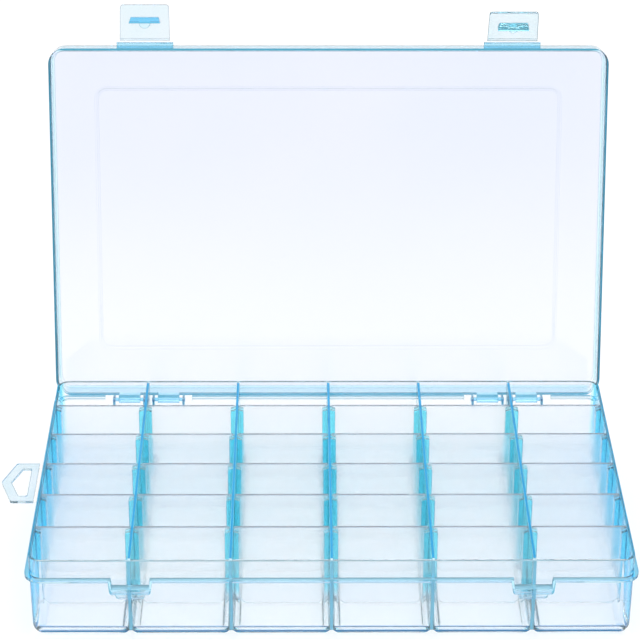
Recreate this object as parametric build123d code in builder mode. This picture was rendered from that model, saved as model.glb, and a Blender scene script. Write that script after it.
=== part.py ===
from build123d import *
import math
import os

os.makedirs("parts", exist_ok=True)

# All lengths are in millimetres, all angles in degrees
# Origin: middle of the tray's underside. +X right, +Y to the rear, +Z up

# Tray
tray_width = 272.0
tray_depth = 173.2
tray_height = 40.5
tray_draft = 1.0
tray_corner = 6.0
tray_foot_radius = 5.0
wall = 1.4
floor = 1.3

# Long compartments and the walls between them
columns = 6
column_pitch = tray_width / columns
column_wall = 1.3
cavity_draft = 0.4
cavity_corner = 4.6
floor_radius = 6.0
over_cut = 1.0

# V-groove under each wall between compartments
groove_half = 3.9
groove_top_half = 0.8
groove_height = 3.6
groove_foot_round = 2.0
groove_top_round = 0.7
groove_rear_stop = 11.6

# Guide ribs that hold the dividers
rows = 5
row_pitch = 29.2
rib = 1.7
slot = 1.6
rib_reach = 2.5
rib_drop = 0.3
rib_slope = 0.9

# Dividers
divider_thickness = 1.2
divider_rise = 1.0
divider_side_gap = 0.25
divider_floor_gap = 0.2
divider_chamfer = 4.4

# Ledge around the tray
ledge_reach = 2.0
ledge_drop = 8.8
ledge_thickness = 1.5
ledge_width = tray_width + 2 * ledge_reach
ledge_depth = tray_depth + 2 * ledge_reach
ledge_corner = tray_corner + ledge_reach
ledge_top = tray_height - ledge_drop

# Latch catches below the front ledge
catch_inset = 45.8
catch_x = tray_width / 2 - catch_inset
catch_half = 9.9
catch_gap_half = 9.45
web = 1.1
shelf_half = 8.3
shelf_reach = 3.9
shelf_drop = 3.65
shelf_height = 2.85
shelf_corner = 0.8
catch_front = tray_depth / 2 + shelf_reach
tongue_half = 6.1
tongue_flare = 1.0
tongue_height = 2.3
tongue_thickness = 2.1
tongue_setback = 0.4
tongue_round = 1.4

# Rear hinges
hinge_inset = 45.3
hinge_x = tray_width / 2 - hinge_inset
hinge_zone = 43.8
hinge_back = 3.3
hinge_drop = 12.0
hinge_y = tray_depth / 2 + hinge_back
hinge_z = tray_height - hinge_drop
inner_ear = 2.35
outer_ear = 17.5
ear_thickness = 1.0
ear_half = 1.95
pin_radius = 0.95
pin_clearance = 0.05
knuckle_radius = 1.9
knuckle_start = 4.5
knuckle_end = 15.3
pin_start = 1.5
pin_end = 18.3

# Lid
lid_open = 101.4
lid_width = ledge_width
lid_depth = ledge_depth
lid_corner = ledge_corner
lid_wall = 1.4
lid_height = 11.8
lid_edge_round = 2.0
lid_inner_chamfer = 0.8
skirt_gap = 0.2
skirt_bottom = ledge_top + skirt_gap
lid_top = skirt_bottom + lid_height
panel_margin_x = 21.4
panel_margin_y = 20.5
panel_half_x = lid_width / 2 - panel_margin_x
panel_half_y = lid_depth / 2 - panel_margin_y
panel_corner = 6.5
panel_rise = 0.5
panel_slope = 65.0
stop_gap = 0.22

# Latches on the lid's front skirt
strip_width = 27.8
strip_reach = 3.1
strip_thickness = 1.2
film_thickness = 0.3
film_length = 0.8
latch_y = -(lid_depth / 2 + strip_reach + film_length / 2)
latch_z = skirt_bottom + film_thickness / 2
latch_width = 24.6
latch_end_width = 23.9
latch_length = 17.7
latch_thickness = 1.2
latch_corner = 1.5
hook_width = 15.3
hook_end_width = 13.6
hook_gap = 0.15
hook_start = latch_z - (ledge_top - shelf_drop - shelf_height - tongue_height) + hook_gap
hook_length = 2.6
hook_land = 0.7
hook_end = hook_start + hook_length
hook_depth = 3.0
boss_radius = 2.75
boss_depth = 1.2
left_latch_rest = 0.0
right_latch_rest = -32.0

# Hang tab on the left side
tab_half = 18.0
tab_film = 1.7
tab_thickness = 1.2
tab_shoulder = 10.7
tab_length = 16.6
tab_tip_round = 4.0
tab_corner_round = 1.5
tab_rise = 0.05
window_half = 13.0
window_inset = 3.3
window_shoulder = 7.5
window_tip = 11.9
window_round = 1.0


def slope(height, degrees):
    return height * math.tan(math.radians(degrees))


def level(drop):
    return tray_height - drop


# The end compartments end at the thicker outer wall, so they are a little narrower
middle_clear = column_pitch - column_wall
end_clear = column_pitch - column_wall / 2 - wall
end_shift = (wall - column_wall / 2) / 2
column_centres = [(i - (columns - 1) / 2) * column_pitch for i in range(columns)]
column_centres[0] += end_shift
column_centres[-1] -= end_shift
wall_centres = [(i - columns / 2) * column_pitch for i in range(1, columns)]
row_centres = [(i - (rows - 1) / 2) * row_pitch for i in range(rows)]
rib_centres = [y + side * (slot + rib) / 2 for y in row_centres for side in (-1, 1)]
cavity_half_y = tray_depth / 2 - wall


# One long compartment as a solid, with notches where its guide ribs stay
def compartment(outer_side):
    half = (end_clear if outer_side else middle_clear) / 2
    top = tray_height + over_cut
    at_floor = half - slope(tray_height - floor, cavity_draft)
    at_top = half + slope(over_cut, cavity_draft)
    y_floor = cavity_half_y - slope(tray_height - floor, cavity_draft)
    y_top = cavity_half_y + slope(over_cut, cavity_draft)
    with BuildPart() as space:
        with BuildSketch(Plane.XZ.offset(-y_top - over_cut)):
            Polygon((-at_floor, floor), (at_floor, floor), (at_top, top), (-at_top, top), align=None)
        extrude(amount=2 * (y_top + over_cut))
        with BuildSketch(Plane.YZ.offset(-at_top - over_cut)):
            Polygon((-y_floor, floor), (y_floor, floor), (y_top, top), (-y_top, top), align=None)
        extrude(amount=2 * (at_top + over_cut), mode=Mode.INTERSECT)
        fillet(space.faces().sort_by(Axis.Z)[0].edges(), floor_radius)
        if outer_side:
            with BuildSketch(Plane.XY) as plan:
                Rectangle(2 * at_top, 2 * y_top)
                corners = plan.vertices().sort_by(Axis.X)
                fillet(corners[-2:] if outer_side > 0 else corners[:2], cavity_corner)
            extrude(amount=top + over_cut, mode=Mode.INTERSECT)
        rib_top = level(rib_drop)
        with BuildSketch(*[Plane.XZ.offset(-(y + rib / 2)) for y in rib_centres]):
            for side in (-1, 1):
                Polygon(
                    (side * (half + 1), 0),
                    (side * (half - rib_reach), 0),
                    (side * (half - rib_reach), rib_top - rib_slope),
                    (side * half, rib_top),
                    (side * (half + 1), rib_top),
                    align=None,
                )
        extrude(amount=rib, mode=Mode.SUBTRACT)
    return space.part


# Tray
with BuildPart() as tray:
    foot = slope(tray_height, tray_draft)
    with BuildSketch(Plane.XY):
        RectangleRounded(tray_width - 2 * foot, tray_depth - 2 * foot, tray_corner - foot / 2)
    extrude(amount=tray_height, taper=-tray_draft)
    fillet(tray.faces().sort_by(Axis.Z)[0].edges(), tray_foot_radius)

    # Ledge, left open at the hinges and at the latch catches
    # The ledge's cuts reach into the tray's wall by half its thickness
    cut_depth = ledge_reach + 4.0
    cut_middle = tray_depth / 2 - wall / 2 + cut_depth / 2
    with BuildSketch(Plane.XY.offset(ledge_top - ledge_thickness)):
        RectangleRounded(ledge_width, ledge_depth, ledge_corner)
        with Locations((-hinge_x, cut_middle), (hinge_x, cut_middle)):
            Rectangle(hinge_zone, cut_depth, mode=Mode.SUBTRACT)
        with Locations((-catch_x, -cut_middle), (catch_x, -cut_middle)):
            Rectangle(2 * catch_gap_half, cut_depth, mode=Mode.SUBTRACT)
    extrude(amount=ledge_thickness)

    # Latch catches: two webs that slope out to a shelf, with a tongue below it
    shelf_top = ledge_top - shelf_drop
    shelf_bottom = shelf_top - shelf_height
    tongue_bottom = shelf_bottom - tongue_height
    with BuildSketch(Plane.XZ.offset(tray_depth / 2 - wall / 2)):
        for x in (-catch_x, catch_x):
            with Locations((x, 0)):
                Polygon(
                    (-catch_half, ledge_top),
                    (-catch_half + 0.1, (ledge_top + shelf_top) / 2),
                    (-shelf_half - shelf_corner, shelf_bottom + shelf_corner),
                    (-shelf_half, shelf_bottom),
                    (shelf_half, shelf_bottom),
                    (shelf_half + shelf_corner, shelf_bottom + shelf_corner),
                    (catch_half - 0.1, (ledge_top + shelf_top) / 2),
                    (catch_half, ledge_top),
                    (catch_half - web, ledge_top),
                    (shelf_half + 0.1, shelf_top),
                    (-shelf_half - 0.1, shelf_top),
                    (-catch_half + web, ledge_top),
                    align=None,
                )
    extrude(amount=catch_front - tray_depth / 2 + wall / 2)
    with BuildSketch(Plane.XZ.offset(catch_front - tongue_setback - tongue_thickness)) as tongues:
        for x in (-catch_x, catch_x):
            with Locations((x, 0)):
                Polygon(
                    (-tongue_half - tongue_flare, (shelf_top + shelf_bottom) / 2),
                    (-tongue_half, tongue_bottom),
                    (tongue_half, tongue_bottom),
                    (tongue_half + tongue_flare, (shelf_top + shelf_bottom) / 2),
                    align=None,
                )
        fillet(tongues.vertices().group_by(Axis.Y)[0], tongue_round)
    extrude(amount=tongue_thickness)
    with BuildSketch(Plane.YZ):
        Polygon(
            (-ledge_depth / 2, ledge_top + 0.5),
            (-ledge_depth / 2, ledge_top - 0.6),
            (-catch_front, shelf_top - 0.2),
            (-catch_front - 1, shelf_top - 0.2),
            (-catch_front - 1, ledge_top + 0.5),
            align=None,
        )
    extrude(amount=tray_width / 2, both=True, mode=Mode.SUBTRACT)

    # Hinge ears, with the corner that the open lid stops on
    turn = math.radians(lid_open)
    skirt_y = lid_depth / 2 - hinge_y
    skirt_z = skirt_bottom - hinge_z
    stop_y = skirt_y * math.cos(turn) + skirt_z * math.sin(turn)
    stop_z = skirt_z * math.cos(turn) - skirt_y * math.sin(turn) - stop_gap
    ear_planes = []
    for hinge in (-hinge_x, hinge_x):
        for offset in (inner_ear, outer_ear):
            for side in (-1, 1):
                ear_planes.append(Plane.YZ.offset(hinge + side * offset - ear_thickness / 2))
    with BuildSketch(*ear_planes):
        with Locations((hinge_y, hinge_z)):
            Polygon(
                (-hinge_back - wall / 2, -ear_half),
                (stop_y - 0.3, -ear_half),
                (stop_y + 0.26, -ear_half + 0.55),
                (stop_y + 0.26, stop_z),
                (stop_y - 0.7, stop_z),
                (stop_y - 1.5, ear_half),
                (-hinge_back - wall / 2, ear_half),
                align=None,
            )
            Circle(pin_radius + pin_clearance, mode=Mode.SUBTRACT)
    extrude(amount=ear_thickness)

    # Compartments
    middle = compartment(0)
    left_end = compartment(-1)
    right_end = compartment(1)
    for i, x in enumerate(column_centres):
        space = left_end if i == 0 else right_end if i == columns - 1 else middle
        add(space.moved(Location((x, 0, 0))), mode=Mode.SUBTRACT)

    # Grooves under the walls between compartments
    groove_rear_end = tray_depth / 2 - groove_rear_stop
    for x in wall_centres:
        with BuildSketch(Plane.XZ.offset(-groove_rear_end)) as groove:
            with Locations((x, 0)):
                Polygon(
                    (-groove_half - 3.0, -0.5),
                    (-groove_half, 0.1),
                    (-groove_top_half, groove_height),
                    (groove_top_half, groove_height),
                    (groove_half, 0.1),
                    (groove_half + 3.0, -0.5),
                    align=None,
                )
            fillet(groove.vertices().group_by(Axis.Y)[1], groove_foot_round)
            fillet(groove.vertices().group_by(Axis.Y)[-1], groove_top_round)
        extrude(amount=groove_rear_end + tray_depth / 2 + over_cut, mode=Mode.SUBTRACT)

tray.part.label = "tray"
export_step(tray.part, "parts/tray.step")


# The lid is built in a frame that turns with it: y towards the rear, z up when closed
lid_frame = Plane(
    origin=(0, hinge_y, hinge_z), x_dir=(1, 0, 0), z_dir=(0, math.sin(turn), math.cos(turn))
)


def lid_side(x):
    return Plane(origin=(x, hinge_y, hinge_z), x_dir=lid_frame.y_dir, z_dir=(1, 0, 0))


lid_up = Axis((0, 0, 0), tuple(lid_frame.z_dir))
underside = lid_top - lid_wall

# Hollow of the lid as a solid
with BuildPart() as lid_hollow:
    with BuildSketch(lid_frame.offset(skirt_bottom - hinge_z - 1.0)):
        with Locations((0, -hinge_y)):
            RectangleRounded(lid_width - 2 * lid_wall, lid_depth - 2 * lid_wall, lid_corner - lid_wall)
    extrude(amount=underside - skirt_bottom + 1.0)
    chamfer(lid_hollow.faces().sort_by(lid_up)[-1].edges(), lid_inner_chamfer)
    with BuildSketch(lid_frame.offset(underside - hinge_z - 0.2)):
        with Locations((0, -hinge_y)):
            RectangleRounded(2 * panel_half_x - lid_wall, 2 * panel_half_y - lid_wall, panel_corner - lid_wall / 2)
    extrude(amount=panel_rise + 0.2, taper=panel_slope)

with BuildPart() as lid:
    with BuildSketch(lid_frame.offset(skirt_bottom - hinge_z)):
        with Locations((0, -hinge_y)):
            RectangleRounded(lid_width, lid_depth, lid_corner)
    extrude(amount=lid_top - skirt_bottom)
    fillet(lid.faces().sort_by(lid_up)[-1].edges(), lid_edge_round)
    with BuildSketch(lid_frame.offset(lid_top - hinge_z - 0.1)):
        with Locations((0, -hinge_y)):
            RectangleRounded(2 * panel_half_x, 2 * panel_half_y, panel_corner)
    extrude(amount=panel_rise + 0.1, taper=panel_slope)
    add(lid_hollow.part, mode=Mode.SUBTRACT)

    # Strips that carry the latches, bevelled beside the film
    strip_edge = latch_y + film_length / 2 - hinge_y
    strip_low = skirt_bottom - hinge_z
    strip_bevel = strip_thickness - film_thickness
    with BuildSketch(*[lid_side(x - strip_width / 2) for x in (-catch_x, catch_x)]):
        Polygon(
            (-lid_depth / 2 - hinge_y + lid_wall / 2, strip_low),
            (strip_edge, strip_low),
            (strip_edge, strip_low + film_thickness),
            (strip_edge + strip_bevel, strip_low + strip_thickness),
            (-lid_depth / 2 - hinge_y + lid_wall / 2, strip_low + strip_thickness),
            align=None,
        )
    extrude(amount=strip_width)

    # Hinge knuckles on arms from the skirt, and the pins through them
    knuckle_planes = []
    pin_planes = []
    for hinge in (-hinge_x, hinge_x):
        knuckle_planes.append(lid_side(hinge + knuckle_start))
        knuckle_planes.append(lid_side(hinge - knuckle_end))
        pin_planes.append(lid_side(hinge + pin_start))
        pin_planes.append(lid_side(hinge - pin_end))
    skirt_outer = lid_depth / 2 - hinge_y
    with BuildSketch(*knuckle_planes):
        Circle(knuckle_radius)
        Polygon(
            (skirt_outer - lid_wall, skirt_z + lid_wall),
            (skirt_outer, skirt_z + lid_wall),
            (knuckle_radius - 0.05, 0.4),
            (0.05 - knuckle_radius, -0.4),
            (skirt_outer - lid_wall, skirt_z / 2),
            align=None,
        )
    extrude(amount=knuckle_end - knuckle_start)
    with BuildSketch(*pin_planes):
        Circle(pin_radius)
    extrude(amount=pin_end - pin_start)

lid.part.label = "lid"
export_step(lid.part, "parts/lid.step")


# Latches and their films
def latch_frame(x, rest):
    angle = math.radians(lid_open)
    dy = latch_y - hinge_y
    dz = latch_z - hinge_z
    y = hinge_y + dy * math.cos(angle) + dz * math.sin(angle)
    z = hinge_z - dy * math.sin(angle) + dz * math.cos(angle)
    lean = math.radians(lid_open + rest)
    return Plane(origin=(x, y, z), x_dir=(1, 0, 0), z_dir=(0, math.sin(lean), math.cos(lean)))


def latch_solid(frame):
    near = -film_length / 2
    far = near - latch_length
    low = -film_thickness / 2
    high = low + latch_thickness
    bevel = latch_thickness - film_thickness
    half = latch_width / 2
    end_half = latch_end_width / 2
    side = Plane(origin=frame.origin, x_dir=frame.y_dir, z_dir=frame.x_dir)
    with BuildPart() as flap:
        with BuildSketch(frame.offset(low)) as outline:
            Polygon((-half, near), (half, near), (end_half, far), (-end_half, far), align=None)
            fillet(outline.vertices().sort_by(Axis.Y)[:2], latch_corner)
        extrude(amount=latch_thickness)
        with BuildSketch(side):
            Polygon(
                (near + 0.5, low + film_thickness - 0.5),
                (near + 0.5, high + 0.5),
                (near - bevel - 0.5, high + 0.5),
                align=None,
            )
        extrude(amount=latch_width, both=True, mode=Mode.SUBTRACT)
        # Hook with its ramp
        with BuildSketch(frame.offset(low)):
            Polygon(
                (-hook_width / 2, -hook_start),
                (hook_width / 2, -hook_start),
                (hook_end_width / 2, -hook_end),
                (-hook_end_width / 2, -hook_end),
                align=None,
            )
        extrude(amount=-hook_depth)
        with BuildSketch(side):
            Polygon(
                (-hook_start - hook_land, low - hook_depth - 0.4),
                (-hook_start - hook_land, low - hook_depth),
                (-hook_end - 0.1, low - 0.3),
                (-hook_end - 0.1, low),
                (-hook_end - 1.0, low),
                (-hook_end - 1.0, low - hook_depth - 0.4),
                align=None,
            )
        extrude(amount=hook_width, both=True, mode=Mode.SUBTRACT)
        # Half-round boss beside the hook
        with BuildSketch(frame.offset(low)):
            with Locations((0, -hook_start)):
                Circle(boss_radius)
            with Locations((0, -hook_start - boss_radius)):
                Rectangle(2 * boss_radius + 1, 2 * boss_radius, mode=Mode.SUBTRACT)
        extrude(amount=-boss_depth)
    return flap.part


# The film runs from the strip's edge to the flap's edge, bent where the flap leans
def film_solid(frame, rest):
    lean = math.radians(rest)
    near = film_length / 2
    skin = film_thickness / 2

    def turned(y, z):
        return (y * math.cos(lean) + z * math.sin(lean), z * math.cos(lean) - y * math.sin(lean))

    side = Plane(origin=frame.origin, x_dir=lid_frame.y_dir, z_dir=(1, 0, 0))
    with BuildPart() as film:
        with BuildSketch(side):
            Polygon((near, -skin), (near, skin), turned(-near, skin), turned(-near, -skin), align=None)
        extrude(amount=latch_width / 2, both=True)
    return film.part


for name, x, rest in (
    ("left", -catch_x, left_latch_rest),
    ("right", catch_x, right_latch_rest),
):
    frame = latch_frame(x, rest)
    flap = latch_solid(frame)
    flap.label = name + "_latch"
    export_step(flap, "parts/" + name + "_latch.step")
    film = film_solid(frame, rest)
    film.label = name + "_latch_film"
    export_step(film, "parts/" + name + "_latch_film.step")


# Hang tab and its film
tab_z = ledge_top - ledge_thickness / 2 + tab_rise
tab_inner = -ledge_width / 2 - tab_film
with BuildPart() as hang_tab:
    with BuildSketch(Plane.XY.offset(tab_z - tab_thickness / 2)) as outline:
        with Locations((tab_inner, 0)):
            Polygon(
                (0, -tab_half),
                (0, tab_half),
                (-tab_shoulder, tab_half),
                (-tab_length, 0),
                (-tab_shoulder, -tab_half),
                align=None,
            )
        tip_first = outline.vertices().sort_by(Axis.X)
        fillet(tip_first[1:3], tab_corner_round)
        fillet(outline.vertices().sort_by(Axis.X)[0], tab_tip_round)
    extrude(amount=tab_thickness)
    with BuildSketch(Plane.XY.offset(tab_z - tab_thickness / 2)) as window:
        with Locations((tab_inner, 0)):
            Polygon(
                (-window_inset, -window_half),
                (-window_inset, window_half),
                (-window_shoulder, window_half),
                (-window_tip, 0),
                (-window_shoulder, -window_half),
                align=None,
            )
        fillet(window.vertices(), window_round)
    extrude(amount=tab_thickness, mode=Mode.SUBTRACT)

hang_tab.part.label = "hang_tab"
export_step(hang_tab.part, "parts/hang_tab.step")

with BuildPart() as hang_tab_film:
    with BuildSketch(Plane.XY.offset(tab_z - film_thickness / 2)):
        with Locations((tab_inner + tab_film / 2, 0)):
            Rectangle(tab_film, 2 * tab_half)
    extrude(amount=film_thickness)

hang_tab_film.part.label = "hang_tab_film"
export_step(hang_tab_film.part, "parts/hang_tab_film.step")


# Dividers: all alike, so they fit the end compartments and have a little play in the others
def divider_half(z):
    return end_clear / 2 - divider_side_gap - slope(tray_height - z, cavity_draft)


divider_bottom = floor + divider_floor_gap
divider_top = tray_height + divider_rise
for c, x in enumerate(column_centres, 1):
    for r, y in enumerate(row_centres, 1):
        name = "divider_c" + str(c) + "_r" + str(r)
        with BuildPart() as divider:
            with BuildSketch(Plane.XZ.offset(-(y + divider_thickness / 2))) as plate:
                with Locations((x, 0)):
                    Polygon(
                        (-divider_half(divider_bottom), divider_bottom),
                        (divider_half(divider_bottom), divider_bottom),
                        (divider_half(divider_top), divider_top),
                        (-divider_half(divider_top), divider_top),
                        align=None,
                    )
                chamfer(plate.vertices().sort_by(Axis.Y)[:2], divider_chamfer)
            extrude(amount=divider_thickness)
        divider.part.label = name
        export_step(divider.part, "parts/" + name + ".step")
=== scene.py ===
import math

import bpy
from mathutils import Matrix, Vector


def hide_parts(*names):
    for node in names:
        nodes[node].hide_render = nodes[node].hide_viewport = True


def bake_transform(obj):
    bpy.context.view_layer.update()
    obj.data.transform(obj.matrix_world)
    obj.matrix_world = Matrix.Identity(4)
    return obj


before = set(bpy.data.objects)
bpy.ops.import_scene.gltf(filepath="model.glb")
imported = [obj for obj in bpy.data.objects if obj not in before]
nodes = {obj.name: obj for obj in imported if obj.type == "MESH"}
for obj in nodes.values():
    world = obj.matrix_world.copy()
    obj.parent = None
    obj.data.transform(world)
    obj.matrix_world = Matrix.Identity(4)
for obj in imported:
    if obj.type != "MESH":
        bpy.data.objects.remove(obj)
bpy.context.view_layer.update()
scene = bpy.context.scene

MM = 0.001

# Camera, at the photograph's viewing angle; places are in millimetres, angles in degrees
CAMERA_PLACE = (-13.92, -1096.13, 659.48)
CAMERA_DOWN = 26.308
CAMERA_YAW = -0.47
CAMERA_ROLL = 0.169
CAMERA_FOCAL = 2646.2
IMAGE_SIDE = 640
SENSOR = 36.0

# Hinge of the lid, and the opening angle of the model at rest
LID_OPEN = math.radians(101.4)
HINGE_Y = 89.9
HINGE_Z = 28.5

# Films that the latches and the hang tab bend on
FILM_HALF = 0.4
FILM_SKIN = 0.15
FILM_WIDTH = 24.6
LATCH_X = 90.2
LATCH_Y = 129.354
LATCH_Z = 206.208
RIGHT_LATCH_LEAN = math.radians(-32.0)
TAB_LEDGE_X = -138.0
TAB_INNER_X = -139.7
TAB_Z = 31.0
TAB_HALF = 18.0
FILM_STEPS = 12

# Places where the plastic's colour changes; a pair gives where a tint begins and where it is full
COLUMN_PITCH = 272.0 / 6
RIB_ZONE = 3.25
TRAY_HALF_X = 136.0
TRAY_HALF_Y = 86.6
TRAY_TOP = 40.5
LEDGE_TOP = 31.7
LEDGE_LOW = 30.2
SHELF_TOP = 28.05
SHELF_LOW = 25.2
FOOT_RADIUS = 5.0
FOOT_SKIN = (FOOT_RADIUS - 1.1, FOOT_RADIUS - 0.7)
FOOT_REACH = (-6.5, -5.8)
FOOT_LINE_TOP = (4.0, 3.2)
FOOT_LINE_LOW = (2.2, 2.35)
FOOT_UNDER = (0.8, 0.4)
LID_HALF_X = 138.0
LID_HALF_Y = 88.6
SKIRT_LOW = 3.4
DIVIDER_TOP = 41.5
HOOK_START = 9.3

# Width of the painted shade band beside a sharp edge: it stands for the dark line that refraction shows at an
# edge
TRAY_EDGE_SHADE_BAND = 0.25
LID_EDGE_SHADE_BAND = 0.4
LATCH_EDGE_SHADE_BAND = 0.5
TAB_EDGE_SHADE_BAND = 0.4
EDGE_SAMPLES = 4

# Tray colours; each colour is for light that has passed through a wall
TRAY_PALE = (1.0, 0.995, 1.0)
TRAY_PALE_DEEP = (0.98, 0.985, 1.0)
TRAY_FRONT = (0.925, 0.95, 1.0)
TRAY_CYAN = (0.5, 0.94, 1.0)
TRAY_SIDE = (0.12, 0.67, 1.0)
TRAY_SIDE_LOW = (0.1, 0.56, 1.0)
TRAY_CORE = (0.0, 0.32, 0.7)
TRAY_JUNCTION = (0.36, 0.78, 1.0)
TRAY_UNDER = (0.4, 0.66, 0.97)
TRAY_FOOT = (0.0, 0.25, 0.6)
TRAY_LEDGE = (0.4, 0.76, 0.95)
TRAY_LEDGE_CLEAR = (0.85, 0.94, 0.98)
# Painted shade: dark line along the tops of the ledge and the catch shelves
TRAY_LEDGE_TOP_SHADE = (0.3, 0.62, 0.76)
TRAY_SHELF = (0.42, 0.76, 0.93)
TRAY_EAR = (0.01, 0.22, 0.42)
# Painted shade: dark lines along the rim and every sharp edge, where refraction shows darkness
TRAY_RIM_SHADE = (0.4, 0.6, 0.68)
TRAY_RIM_SHADE_SIDE = (0.01, 0.38, 0.66)
TRAY_EDGE_SHADE = (0.04, 0.34, 0.52)

# Lid colours
LID_PALEST = (0.93, 0.94, 0.987)
LID_PALE = (0.845, 0.86, 0.973)
LID_PALE_DEEP = (0.815, 0.845, 0.967)
LID_SKIRT = (0.7, 0.92, 1.0)
LID_HINGE_END = (0.57, 0.83, 1.0)
LID_CYAN = (0.32, 0.72, 0.95)
LID_STRIP_DEEP = (0.28, 0.7, 0.93)
LID_STRIP = (0.55, 0.85, 0.97)
# Painted shade: dark lines along every sharp edge of the lid and its skirt rim, faint on the panel
LID_EDGE_SHADE = (0.04, 0.32, 0.48)
LID_RIM_SHADE = (0.04, 0.34, 0.52)
LID_FAINT_SHADE = (0.2, 0.36, 0.44)

# Divider, latch, film and hang tab colours
DIVIDER_PALE = (0.995, 0.99, 1.0)
DIVIDER_PALE_DEEP = (0.98, 0.98, 1.0)
# Painted shade: grey line along a divider's top edge
DIVIDER_EDGE_SHADE = (0.68, 0.7, 0.78)
CLEAR_PALE = (0.81, 0.885, 0.935)
CLEAR_PALE_DEEP = (0.77, 0.88, 0.93)
# Painted shade: dark lines along each sharp edge of the hang tab and the two latches
CLEAR_EDGE_SHADE = (0.2, 0.36, 0.44)
LEFT_EDGE_SHADE = (0.4, 0.46, 0.56)
RIGHT_EDGE_SHADE = (0.05, 0.2, 0.27)
BOSS_CYAN = (0.6, 0.85, 0.95)
LEFT_HOOK = (0.03, 0.38, 0.76)
RIGHT_HOOK = (0.3, 0.84, 1.0)
# Painted shade: dark line along each sharp edge of the hooks and bosses
HOOK_EDGE_SHADE = (0.08, 0.48, 0.68)
FILM_PALE = (0.97, 0.99, 1.0)
FILM_PALE_DEEP = (0.94, 0.975, 0.99)
TAB_PALE = (0.7, 0.83, 0.88)

# Body of each plastic: roughness from and to, absorbed colour per metre, slow wave and fine grain of its skin
TRAY_BODY = dict(rough=(0.03, 0.08), absorb=(0.25, 0.86, 0.97), density=10.0, wave=0.006, grain=0.01)
LID_BODY = dict(rough=(0.04, 0.1), absorb=(0.3, 0.8, 0.95), density=16.0, wave=0.008, grain=0.01)
DIVIDER_BODY = dict(rough=(0.12, 0.2), absorb=(0.75, 0.85, 0.95), density=4.0, wave=0.015, grain=0.03)
LATCH_BODY = dict(rough=(0.04, 0.1), absorb=(0.6, 0.75, 0.8), density=12.0, wave=0.02, grain=0.01)
TAB_BODY = dict(rough=(0.05, 0.12), absorb=(0.6, 0.75, 0.8), density=12.0, wave=0.02, grain=0.01)
FILM_BODY = dict(rough=(0.06, 0.14), absorb=(0.8, 0.9, 0.95), density=4.0, wave=0.02, grain=0.01)
PLASTIC_IOR = 1.49

# How clear each plastic is away from its tinted zones and painted shade lines
TRAY_CLEAR = 0.97
LID_CLEAR = 0.96
DIVIDER_CLEAR = 0.88
LATCH_CLEAR = 0.97

# Share of solid colour in each tinted zone and painted shade line; a pair is for the panel and the skirt, or
# the blade and the hook
TRAY_EDGE_SHADE_SOLID = 0.12
TRAY_CORE_SOLID = 0.6
TRAY_JUNCTION_SOLID = 0.55
TRAY_LEDGE_SHADE_SOLID = 0.45
TRAY_RIM_SHADE_SOLID = 0.4
TRAY_FOOT_SOLID = 0.95
LID_EDGE_SHADE_SOLID = (0.3, 0.15)
LID_RIM_SHADE_SOLID = 0.6
LATCH_EDGE_SHADE_SOLID = (0.85, 0.45)
LATCH_HOOK_SOLID = 0.2
TAB_EDGE_SHADE_SOLID = 0.4

# Stage: the floor's own grey plus its glow, and the world's light, give a white backdrop
FLOOR_HALF = 3.0
FLOOR_Z = -0.0003
FLOOR_GREY = 0.4
FLOOR_GLOW = 0.64
WORLD_LIGHT = 0.95


def make_camera():
    down = math.radians(CAMERA_DOWN)
    yaw = math.radians(CAMERA_YAW)
    roll = math.radians(CAMERA_ROLL)
    forward = Vector((-math.sin(yaw) * math.cos(down), math.cos(yaw) * math.cos(down), -math.sin(down)))
    right = Vector((math.cos(yaw), math.sin(yaw), 0.0))
    up = Vector((-math.sin(yaw) * math.sin(down), math.cos(yaw) * math.sin(down), math.cos(down)))
    side = right * math.cos(roll) + up * math.sin(roll)
    top = -right * math.sin(roll) + up * math.cos(roll)
    data = bpy.data.cameras.new("photo_camera")
    data.sensor_width = SENSOR
    data.lens = CAMERA_FOCAL / IMAGE_SIDE * SENSOR
    data.clip_start = 0.01
    data.clip_end = 20.0
    camera = bpy.data.objects.new("photo_camera", data)
    turn = Matrix((side, top, -forward)).transposed().to_4x4()
    camera.matrix_world = Matrix.Translation(Vector(CAMERA_PLACE) * MM) @ turn
    scene.collection.objects.link(camera)
    scene.camera = camera


def new_material(name):
    material = bpy.data.materials.new(name)
    material.use_nodes = True
    tree = material.node_tree
    tree.nodes.clear()
    output = tree.nodes.new("ShaderNodeOutputMaterial")
    return material, tree, output


# Joins a socket, or sets a number or colour, on a node's input
def feed(tree, socket, value):
    if isinstance(value, (int, float)):
        socket.default_value = value
    elif isinstance(value, tuple):
        socket.default_value = (*value, 1.0)
    else:
        tree.links.new(value, socket)


def maths(tree, operation, *values):
    node = tree.nodes.new("ShaderNodeMath")
    node.operation = operation
    for i, value in enumerate(values):
        feed(tree, node.inputs[i], value)
    return node.outputs[0]


# Where all of the masks hold
def both(tree, mask, *others):
    for other in others:
        mask = maths(tree, "MULTIPLY", mask, other)
    return mask


# Where at least one of the masks holds
def either(tree, mask, *others):
    for other in others:
        mask = maths(tree, "MAXIMUM", mask, other)
    return mask


# 0 below low, 1 above high, smooth between them; low may be the larger of the two
def ramp(tree, value, low, high, to_low=0.0, to_high=1.0):
    node = tree.nodes.new("ShaderNodeMapRange")
    node.interpolation_type = "SMOOTHSTEP"
    feed(tree, node.inputs["Value"], value)
    feed(tree, node.inputs["From Min"], low)
    feed(tree, node.inputs["From Max"], high)
    feed(tree, node.inputs["To Min"], to_low)
    feed(tree, node.inputs["To Max"], to_high)
    return node.outputs["Result"]


# The first colour where the factor is 0, the second where it is 1; 6, 7 and 2 are the node's colour sockets
def mixed(tree, factor, first, second):
    node = tree.nodes.new("ShaderNodeMix")
    node.data_type = "RGBA"
    feed(tree, node.inputs["Factor"], factor)
    feed(tree, node.inputs[6], first)
    feed(tree, node.inputs[7], second)
    return node.outputs[2]


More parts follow.
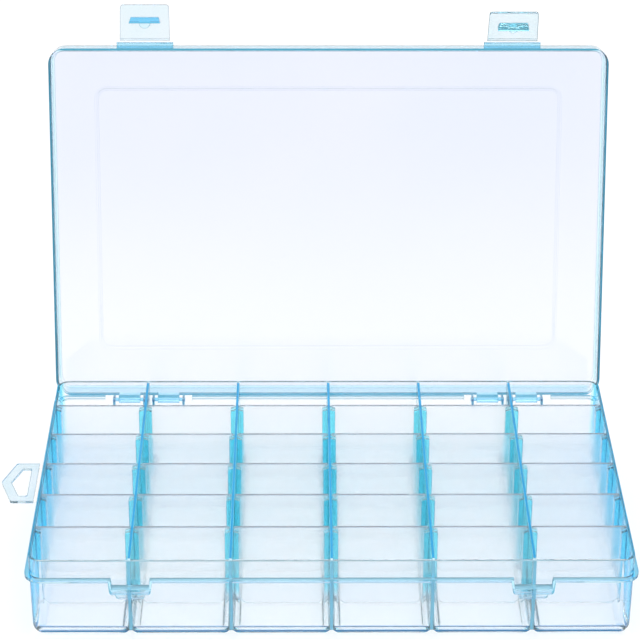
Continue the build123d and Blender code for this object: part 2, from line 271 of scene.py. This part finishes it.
# Place of a surface point in millimetres along some directions from an origin
def measured(tree, origin=(0.0, 0.0, 0.0), directions=((1, 0, 0), (0, 1, 0), (0, 0, 1))):
    place = tree.nodes.new("ShaderNodeTexCoord").outputs["Object"]
    moved = tree.nodes.new("ShaderNodeVectorMath")
    moved.operation = "SUBTRACT"
    tree.links.new(place, moved.inputs[0])
    moved.inputs[1].default_value = [c * MM for c in origin]
    found = []
    for direction in directions:
        dot = tree.nodes.new("ShaderNodeVectorMath")
        dot.operation = "DOT_PRODUCT"
        tree.links.new(moved.outputs[0], dot.inputs[0])
        dot.inputs[1].default_value = [c / MM for c in direction]
        found.append(dot.outputs["Value"])
    return found


# Noise with its scale per metre
def noise(tree, scale, detail):
    place = tree.nodes.new("ShaderNodeTexCoord")
    texture = tree.nodes.new("ShaderNodeTexNoise")
    texture.inputs["Scale"].default_value = scale
    texture.inputs["Detail"].default_value = detail
    tree.links.new(place.outputs["Object"], texture.inputs["Vector"])
    return texture.outputs["Fac"]


# Noise spread over the whole range from low to high
def drift(tree, scale, detail, low=0.0, high=1.0):
    return ramp(tree, noise(tree, scale, detail), 0.3, 0.7, low, high)


# A base colour that drifts between two tones
def clouded(tree, scale, detail, first, second):
    return mixed(tree, drift(tree, scale, detail), first, second)


# 1 within a tenth of a millimetre of a height, 0 outside it
def thin_band(tree, z, height):
    return ramp(tree, maths(tree, "ABSOLUTE", maths(tree, "SUBTRACT", z, height)), 0.15, 0.05)


# 1 on a narrow band beside every sharp edge, 0 on the faces; the materials paint their edge shade lines there
def edge_shade_mask(tree, radius):
    bevel = tree.nodes.new("ShaderNodeBevel")
    bevel.samples = EDGE_SAMPLES
    bevel.inputs["Radius"].default_value = radius * MM
    surface = tree.nodes.new("ShaderNodeNewGeometry")
    dot = tree.nodes.new("ShaderNodeVectorMath")
    dot.operation = "DOT_PRODUCT"
    tree.links.new(bevel.outputs["Normal"], dot.inputs[0])
    tree.links.new(surface.outputs["Normal"], dot.inputs[1])
    return ramp(tree, dot.outputs["Value"], 0.995, 0.93)


# How clear the surface is: each tinted zone or painted shade line takes its share of solid colour from it
def less_solid(tree, clear, *zones):
    return maths(tree, "SUBTRACT", clear, either(tree, *[both(tree, mask, share) for mask, share in zones]))


def bump(tree, strength, distance, height):
    node = tree.nodes.new("ShaderNodeBump")
    node.inputs["Strength"].default_value = strength
    node.inputs["Distance"].default_value = distance
    tree.links.new(height, node.inputs["Height"])
    return node


def finish_plastic(material, tree, output, colour, clear, rough, absorb, density, wave, grain):
    shader = tree.nodes.new("ShaderNodeBsdfPrincipled")
    feed(tree, shader.inputs["Transmission Weight"], clear)
    shader.inputs["IOR"].default_value = PLASTIC_IOR
    tree.links.new(colour, shader.inputs["Base Color"])
    tree.links.new(drift(tree, 90.0, 3.0, *rough), shader.inputs["Roughness"])
    slow = bump(tree, wave, 0.004, noise(tree, 35.0, 1.0))
    fine = bump(tree, grain, 0.0004, noise(tree, 1200.0, 2.0))
    tree.links.new(slow.outputs["Normal"], fine.inputs["Normal"])
    tree.links.new(fine.outputs["Normal"], shader.inputs["Normal"])
    volume = tree.nodes.new("ShaderNodeVolumeAbsorption")
    volume.inputs["Color"].default_value = (*absorb, 1.0)
    volume.inputs["Density"].default_value = density
    tree.links.new(shader.outputs["BSDF"], output.inputs["Surface"])
    tree.links.new(volume.outputs["Volume"], output.inputs["Volume"])
    return material


# The thick rounded foot shows on the tray's outer skin, fully at the front and faintly at the sides and rear
def foot_zones(tree, y, z, outward):
    arc_out = maths(tree, "MAXIMUM", maths(tree, "ADD", outward, FOOT_RADIUS), 0.0)
    arc_down = maths(tree, "MAXIMUM", maths(tree, "SUBTRACT", FOOT_RADIUS, z), 0.0)
    squares = maths(tree, "ADD", maths(tree, "POWER", arc_out, 2.0), maths(tree, "POWER", arc_down, 2.0))
    outer_skin = ramp(tree, maths(tree, "SQRT", squares), *FOOT_SKIN)
    near_front = ramp(tree, y, 12.0 - TRAY_HALF_Y, 6.0 - TRAY_HALF_Y, 0.3, 1.0)
    around = both(tree, ramp(tree, outward, *FOOT_REACH), outer_skin, near_front)
    foot = both(tree, ramp(tree, z, *FOOT_LINE_TOP), ramp(tree, z, *FOOT_LINE_LOW), around)
    under = both(tree, ramp(tree, z, *FOOT_UNDER), around)
    return foot, under


# Ledge, latch catches and hinge ears, which stand out from the tray's walls
def tray_fittings(tree, z, front):
    ledge = mixed(tree, front, TRAY_LEDGE_CLEAR, TRAY_LEDGE)
    catch = mixed(tree, ramp(tree, z, SHELF_LOW - 0.1, SHELF_LOW), TRAY_LEDGE_CLEAR, TRAY_SHELF)
    below = mixed(tree, front, TRAY_EAR, catch)
    return mixed(tree, ramp(tree, z, LEDGE_LOW + 0.3, LEDGE_LOW), ledge, below)


# The tray is deep cyan in its long walls, ribs and sides, and pale in its floors, front and back
def tray_material():
    material, tree, output = new_material("tray_blue_clear")
    x, y, z = measured(tree)
    across = maths(tree, "ABSOLUTE", x)
    along = maths(tree, "ABSOLUTE", y)
    from_wall = maths(tree, "ABSOLUTE", maths(tree, "WRAP", x, COLUMN_PITCH / 2, -COLUMN_PITCH / 2))
    out_x = maths(tree, "SUBTRACT", across, TRAY_HALF_X)
    out_y = maths(tree, "SUBTRACT", along, TRAY_HALF_Y)
    outward = maths(tree, "MAXIMUM", out_x, out_y)
    front = ramp(tree, y, 1.6 - TRAY_HALF_Y, 0.8 - TRAY_HALF_Y)
    inside = ramp(tree, along, TRAY_HALF_Y - 2.2, TRAY_HALF_Y - 2.6)
    sides = ramp(tree, across, TRAY_HALF_X - 2.0, TRAY_HALF_X - 1.2)
    # Walls and floors
    low_front = both(tree, front, ramp(tree, z, LEDGE_LOW + 1.0, LEDGE_LOW))
    ribs = both(tree, ramp(tree, from_wall, RIB_ZONE + 0.2, RIB_ZONE), inside, ramp(tree, z, 4.0, 12.0))
    side = mixed(tree, ramp(tree, z, LEDGE_LOW, LEDGE_LOW - 1.0), TRAY_SIDE, TRAY_SIDE_LOW)
    colour = clouded(tree, 14.0, 1.0, TRAY_PALE, TRAY_PALE_DEEP)
    colour = mixed(tree, low_front, colour, TRAY_FRONT)
    colour = mixed(tree, ribs, colour, TRAY_CYAN)
    colour = mixed(tree, sides, colour, side)
    # Foot and fittings
    foot, under = foot_zones(tree, y, z, outward)
    colour = mixed(tree, under, colour, TRAY_UNDER)
    colour = mixed(tree, foot, colour, TRAY_FOOT)
    colour = mixed(tree, ramp(tree, outward, 0.9, 1.3), colour, tray_fittings(tree, z, front))
    # Lines: fronts and tops of the long walls are tinted; the sharp edge lines, ledge tops and rim are
    # painted shade, standing for the dark lines that refraction shows there
    top = ramp(tree, z, TRAY_TOP - 0.3, TRAY_TOP - 0.1)
    at_front = ramp(tree, y, 0.85 - TRAY_HALF_Y, 0.7 - TRAY_HALF_Y)
    junction = both(tree, ramp(tree, from_wall, 0.8, 0.6), at_front)
    edge_shade = edge_shade_mask(tree, TRAY_EDGE_SHADE_BAND)
    shelf_top_shade = either(tree, thin_band(tree, z, LEDGE_TOP), thin_band(tree, z, SHELF_TOP))
    shelf_top_shade = both(tree, shelf_top_shade, ramp(tree, outward, -0.2, 0.2))
    core = both(tree, ramp(tree, from_wall, 0.6, 0.5), top, inside)
    rim = both(tree, ramp(tree, outward, -0.9, -0.5), top)
    colour = mixed(tree, junction, colour, TRAY_JUNCTION)
    colour = mixed(tree, edge_shade, colour, TRAY_EDGE_SHADE)
    colour = mixed(tree, shelf_top_shade, colour, TRAY_LEDGE_TOP_SHADE)
    colour = mixed(tree, core, colour, TRAY_CORE)
    colour = mixed(tree, rim, colour, mixed(tree, sides, TRAY_RIM_SHADE, TRAY_RIM_SHADE_SIDE))
    zones = (
        (edge_shade, TRAY_EDGE_SHADE_SOLID),
        (core, TRAY_CORE_SOLID),
        (junction, TRAY_JUNCTION_SOLID),
        (shelf_top_shade, TRAY_LEDGE_SHADE_SOLID),
        (rim, TRAY_RIM_SHADE_SOLID),
        (foot, TRAY_FOOT_SOLID),
    )
    clear = less_solid(tree, TRAY_CLEAR, *zones)
    return finish_plastic(material, tree, output, colour, clear, **TRAY_BODY)


# The lid is pale lavender, with cyan in its skirt and deeper cyan in its knuckles and strips
def lid_material():
    material, tree, output = new_material("lid_blue_clear")
    back = (0.0, math.cos(LID_OPEN), -math.sin(LID_OPEN))
    upward = (0.0, math.sin(LID_OPEN), math.cos(LID_OPEN))
    x, y, z = measured(tree, (0.0, HINGE_Y, HINGE_Z), ((1, 0, 0), back, upward))
    from_side = maths(tree, "SUBTRACT", LID_HALF_X, maths(tree, "ABSOLUTE", x))
    middle = maths(tree, "ADD", y, HINGE_Y)
    from_end = maths(tree, "SUBTRACT", LID_HALF_Y, maths(tree, "ABSOLUTE", middle))
    from_edge = maths(tree, "MINIMUM", from_side, from_end)
    # Panel, skirt and the parts that stand out from it
    cloud = clouded(tree, 9.0, 2.0, LID_PALE, LID_PALE_DEEP)
    colour = mixed(tree, ramp(tree, middle, -60.0, 80.0), cloud, LID_PALEST)
    colour = mixed(tree, ramp(tree, from_edge, 2.2, 1.3), colour, LID_SKIRT)
    colour = mixed(tree, ramp(tree, middle, LID_HALF_Y - 2.2, LID_HALF_Y - 1.3), colour, LID_HINGE_END)
    strip = mixed(tree, ramp(tree, from_end, -0.5, -2.9), LID_STRIP_DEEP, LID_STRIP)
    fittings = mixed(tree, ramp(tree, middle, -1.0, 1.0), strip, LID_CYAN)
    colour = mixed(tree, ramp(tree, from_end, 0.0, -0.2), colour, fittings)
    # Painted shade lines: the outer half of the skirt's rim carries a teal one, and every sharp edge one that
    # is faint on the panel and full near the skirt
    low = ramp(tree, z, SKIRT_LOW + 0.3, SKIRT_LOW + 0.1)
    rim = both(tree, low, ramp(tree, from_edge, 1.1, 0.8), ramp(tree, from_edge, -0.2, 0.0))
    edge_shade = edge_shade_mask(tree, LID_EDGE_SHADE_BAND)
    outer = ramp(tree, from_edge, 9.0, 5.0)
    colour = mixed(tree, edge_shade, colour, mixed(tree, outer, LID_FAINT_SHADE, LID_EDGE_SHADE))
    colour = mixed(tree, rim, colour, LID_RIM_SHADE)
    edge_solid = ramp(tree, outer, 0.0, 1.0, *LID_EDGE_SHADE_SOLID)
    clear = less_solid(tree, LID_CLEAR, (edge_shade, edge_solid), (rim, LID_RIM_SHADE_SOLID))
    return finish_plastic(material, tree, output, colour, clear, **LID_BODY)


# A divider is nearly colourless, with a hazier moulded face and a painted grey shade line along its top edge
def divider_material():
    material, tree, output = new_material("divider_clear")
    z = measured(tree)[2]
    pale = clouded(tree, 30.0, 2.0, DIVIDER_PALE, DIVIDER_PALE_DEEP)
    colour = mixed(tree, ramp(tree, z, DIVIDER_TOP - 0.5, DIVIDER_TOP - 0.2), pale, DIVIDER_EDGE_SHADE)
    return finish_plastic(material, tree, output, colour, DIVIDER_CLEAR, **DIVIDER_BODY)


# A latch is clear, with a cyan hook and boss on its inner face; w is the height over that face
def latch_material(name, x, lean, hook, edge):
    material, tree, output = new_material(name)
    turn = LID_OPEN + lean
    outward = (0.0, -math.cos(turn), math.sin(turn))
    upward = (0.0, math.sin(turn), math.cos(turn))
    along, w = measured(tree, (x, LATCH_Y, LATCH_Z), (outward, upward))
    on_hook = ramp(tree, along, HOOK_START - 0.2, HOOK_START)
    raised = ramp(tree, w, -FILM_SKIN, -FILM_SKIN - 0.15)
    # Every sharp edge carries a painted shade line, in the hook's edge shade on the raised parts
    edge_shade = edge_shade_mask(tree, LATCH_EDGE_SHADE_BAND)
    colour = clouded(tree, 60.0, 2.0, CLEAR_PALE, CLEAR_PALE_DEEP)
    colour = mixed(tree, raised, colour, mixed(tree, on_hook, BOSS_CYAN, hook))
    colour = mixed(tree, edge_shade, colour, mixed(tree, raised, edge, HOOK_EDGE_SHADE))
    hook_face = both(tree, raised, on_hook)
    edge_solid = ramp(tree, raised, 0.0, 1.0, *LATCH_EDGE_SHADE_SOLID)
    clear = less_solid(tree, LATCH_CLEAR, (hook_face, LATCH_HOOK_SOLID), (edge_shade, edge_solid))
    return finish_plastic(material, tree, output, colour, clear, **LATCH_BODY)


# The thin films are almost colourless
def film_material():
    material, tree, output = new_material("film_clear")
    pale = clouded(tree, 80.0, 2.0, FILM_PALE, FILM_PALE_DEEP)
    return finish_plastic(material, tree, output, pale, LATCH_CLEAR, **FILM_BODY)


def tab_material():
    material, tree, output = new_material("hang_tab_clear")
    # Every sharp edge of the tab carries a painted shade line
    edge_shade = edge_shade_mask(tree, TAB_EDGE_SHADE_BAND)
    colour = mixed(tree, edge_shade, clouded(tree, 60.0, 2.0, TAB_PALE, CLEAR_PALE), CLEAR_EDGE_SHADE)
    clear = less_solid(tree, LATCH_CLEAR, (edge_shade, TAB_EDGE_SHADE_SOLID))
    return finish_plastic(material, tree, output, colour, clear, **TAB_BODY)


def dress(names, material):
    for name in names:
        node = nodes[name]
        node.data.materials.clear()
        node.data.materials.append(material)


# A thin film as a ribbon, swept along a path of points with the film's normals
def ribbon(name, path, width_axis, width, skin, material):
    vertices = []
    for centre, normal in path:
        for side in (-0.5, 0.5):
            for face in (-1.0, 1.0):
                vertices.append((centre + width_axis * side * width + normal * face * skin) * MM)
    ring = (0, 1, 3, 2)
    faces = [ring]
    for i in range(len(path) - 1):
        a = 4 * i
        b = a + 4
        for start, end in zip(ring, ring[1:] + ring[:1]):
            faces.append((a + start, b + start, b + end, a + end))
    last = 4 * (len(path) - 1)
    faces.append((last, last + 2, last + 3, last + 1))
    mesh = bpy.data.meshes.new(name)
    mesh.from_pydata(vertices, [], faces)
    mesh.validate()
    mesh.materials.append(material)
    piece = bpy.data.objects.new(name, mesh)
    scene.collection.objects.link(piece)
    return piece


# Film between the lid's skirt and a latch, bent on an arc by the latch's lean at rest
def latch_film(name, x, lean, node, material):
    outward = Vector((0.0, -math.cos(LID_OPEN), math.sin(LID_OPEN)))
    upward = Vector((0.0, math.sin(LID_OPEN), math.cos(LID_OPEN)))
    centre = Vector((x, LATCH_Y, LATCH_Z))
    path = []
    for i in range(FILM_STEPS + 1):
        share = i / FILM_STEPS
        turn = lean * share
        if lean:
            radius = FILM_HALF / math.tan(lean / 2)
            along = -FILM_HALF + radius * math.sin(turn)
            rise = radius * (1 - math.cos(turn))
        else:
            along = -FILM_HALF + 2 * FILM_HALF * share
            rise = 0.0
        normal = -outward * math.sin(turn) + upward * math.cos(turn)
        path.append((centre + outward * along + upward * rise, normal))
    piece = ribbon(name, path, Vector((1, 0, 0)), FILM_WIDTH, FILM_SKIN, material)
    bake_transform(piece)
    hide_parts(node)


# Film between the tray's ledge and the hang tab
def tab_film(material):
    path = []
    for i in range(FILM_STEPS + 1):
        x = TAB_LEDGE_X + (TAB_INNER_X - TAB_LEDGE_X) * i / FILM_STEPS
        path.append((Vector((x, 0, TAB_Z)), Vector((0, 0, 1))))
    piece = ribbon("hang_tab_hinge", path, Vector((0, 1, 0)), 2 * TAB_HALF, FILM_SKIN, material)
    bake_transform(piece)
    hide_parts("hang_tab_film")


# 1 for rays that see the backdrop, directly or through the plastic, and 0 for rays that only bring light
def backdrop_switch(tree):
    path = tree.nodes.new("ShaderNodeLightPath")
    rays = ("Is Camera Ray", "Is Glossy Ray", "Is Transmission Ray")
    return either(tree, *[path.outputs[ray] for ray in rays])


def make_floor():
    corners = ((-1, -1), (1, -1), (1, 1), (-1, 1))
    mesh = bpy.data.meshes.new("floor")
    mesh.from_pydata([(x * FLOOR_HALF, y * FLOOR_HALF, FLOOR_Z) for x, y in corners], [], [(0, 1, 2, 3)])
    floor = bpy.data.objects.new("floor", mesh)
    scene.collection.objects.link(floor)
    material, tree, output = new_material("floor_paper")
    diffuse = tree.nodes.new("ShaderNodeBsdfDiffuse")
    diffuse.inputs["Color"].default_value = (FLOOR_GREY, FLOOR_GREY, FLOOR_GREY, 1.0)
    glow = tree.nodes.new("ShaderNodeEmission")
    glow.inputs["Color"].default_value = (FLOOR_GLOW, FLOOR_GLOW, FLOOR_GLOW, 1.0)
    tree.links.new(backdrop_switch(tree), glow.inputs["Strength"])
    paper = tree.nodes.new("ShaderNodeAddShader")
    tree.links.new(diffuse.outputs[0], paper.inputs[0])
    tree.links.new(glow.outputs[0], paper.inputs[1])
    tree.links.new(paper.outputs[0], output.inputs["Surface"])
    mesh.materials.append(material)


def make_world():
    world = bpy.data.worlds.new("studio")
    world.use_nodes = True
    scene.world = world
    tree = world.node_tree
    tree.nodes.clear()
    output = tree.nodes.new("ShaderNodeOutputWorld")
    light = tree.nodes.new("ShaderNodeBackground")
    light.inputs["Color"].default_value = (WORLD_LIGHT, WORLD_LIGHT, WORLD_LIGHT, 1.0)
    seen = tree.nodes.new("ShaderNodeBackground")
    seen.inputs["Color"].default_value = (1.0, 1.0, 1.0, 1.0)
    mix = tree.nodes.new("ShaderNodeMixShader")
    tree.links.new(backdrop_switch(tree), mix.inputs[0])
    tree.links.new(light.outputs[0], mix.inputs[1])
    tree.links.new(seen.outputs[0], mix.inputs[2])
    tree.links.new(mix.outputs[0], output.inputs["Surface"])


# A rectangular softbox, in metres and watts
def area_light(name, place, aim, size, power):
    data = bpy.data.lights.new(name, "AREA")
    data.shape = "RECTANGLE"
    data.size, data.size_y = size
    data.energy = power
    lamp = bpy.data.objects.new(name, data)
    lamp.location = place
    lamp.rotation_euler = (Vector(aim) - Vector(place)).to_track_quat("-Z", "Y").to_euler()
    scene.collection.objects.link(lamp)


make_camera()

dress(["tray"], tray_material())
dress(["lid"], lid_material())
dress([name for name in nodes if name.startswith("divider_")], divider_material())
dress(["left_latch"], latch_material("left_latch_clear", -LATCH_X, 0.0, LEFT_HOOK, LEFT_EDGE_SHADE))
dress(["right_latch"], latch_material("right_latch_clear", LATCH_X, RIGHT_LATCH_LEAN, RIGHT_HOOK, RIGHT_EDGE_SHADE))
film_clear = film_material()
dress(["hang_tab"], tab_material())
dress(["left_latch_film", "right_latch_film", "hang_tab_film"], film_clear)

latch_film("left_latch_hinge", -LATCH_X, 0.0, "left_latch_film", film_clear)
latch_film("right_latch_hinge", LATCH_X, RIGHT_LATCH_LEAN, "right_latch_film", film_clear)
tab_film(film_clear)

make_floor()
make_world()
area_light("softbox_top", place=(0.2, 0.1, 1.6), aim=(0, 0, 0), size=(1.6, 1.2), power=6.0)
area_light("softbox_left", place=(-1.5, -0.6, 0.9), aim=(0, 0, 0.05), size=(1.0, 1.0), power=4.0)

# Light crosses many clear walls, so it needs many bounces, and its reflections aren't blurred
scene.view_settings.view_transform = "Standard"
scene.cycles.max_bounces = 64
scene.cycles.transmission_bounces = 64
scene.cycles.transparent_max_bounces = 32
scene.cycles.glossy_bounces = 12
scene.cycles.blur_glossy = 0.0
